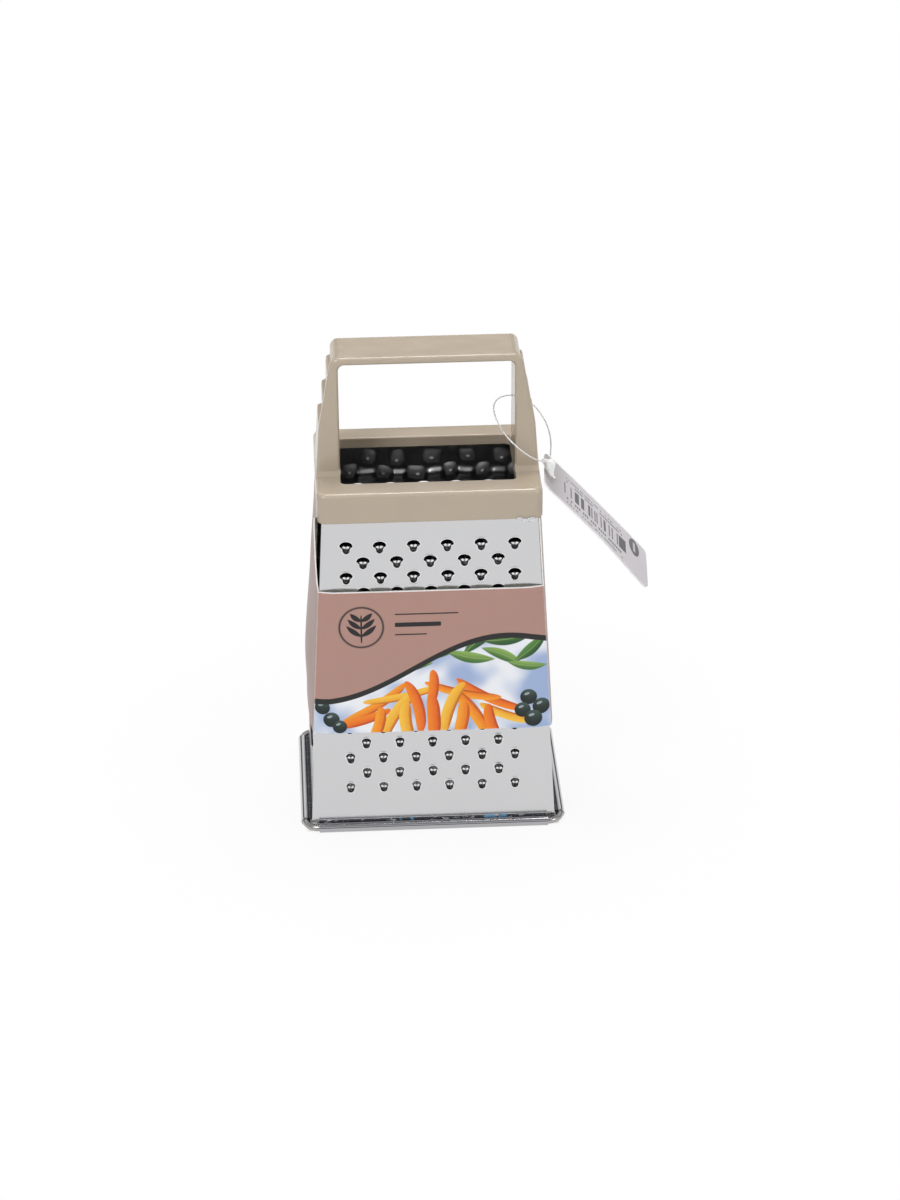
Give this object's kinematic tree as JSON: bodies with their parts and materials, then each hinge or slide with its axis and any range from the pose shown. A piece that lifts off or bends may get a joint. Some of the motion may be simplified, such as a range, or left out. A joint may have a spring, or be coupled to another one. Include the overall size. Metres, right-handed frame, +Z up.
{
  "type": "box grater",
  "caption": "Four-sided tapering steel box grater with a moulded collar and arch handle, a printed card sleeve and a card hang tag on a clear loop.",
  "frame": {"origin": "middle of the base, on the surface that the rolled rim stands on", "axes": "+Z up, -Y out of the front with the fine teeth, +X towards the side that the tag hangs on"},
  "size_m": [0.1117, 0.064, 0.156],
  "materials": {
    "steel": "polished",
    "wire": "polished",
    "moulding": "gloss",
    "sleeve_card": "satin print",
    "tag_card": "satin print",
    "clear_plastic": "clear",
    "film": "clear"
  },
  "bodies": {
    "grater": {"handle_moulding": "moulding", "front_panel": "steel", "back_panel": "steel", "left_panel": "steel", "right_panel": "steel", "base_wire": "wire", "card_sleeve": "sleeve_card", "film_scrap": "film"},
    "loop": {"tag_loop": "clear_plastic", "loop_lock": "clear_plastic"},
    "tag": {"hang_tag": "tag_card"}
  },
  "joints": [
    {"name": "loop_swing", "type": "hinge", "parent": "grater", "child": "loop", "pos_m": [0.031, 0, 0.125], "axis": [0, -1, 0], "range_deg": [0, 25]},
    {"name": "tag_swing", "type": "hinge", "parent": "loop", "child": "tag", "pos_m": [0.03887, -0.0035, 0.11323], "axis": [0, -1, 0], "range_deg": [0, 40]}
  ]
}
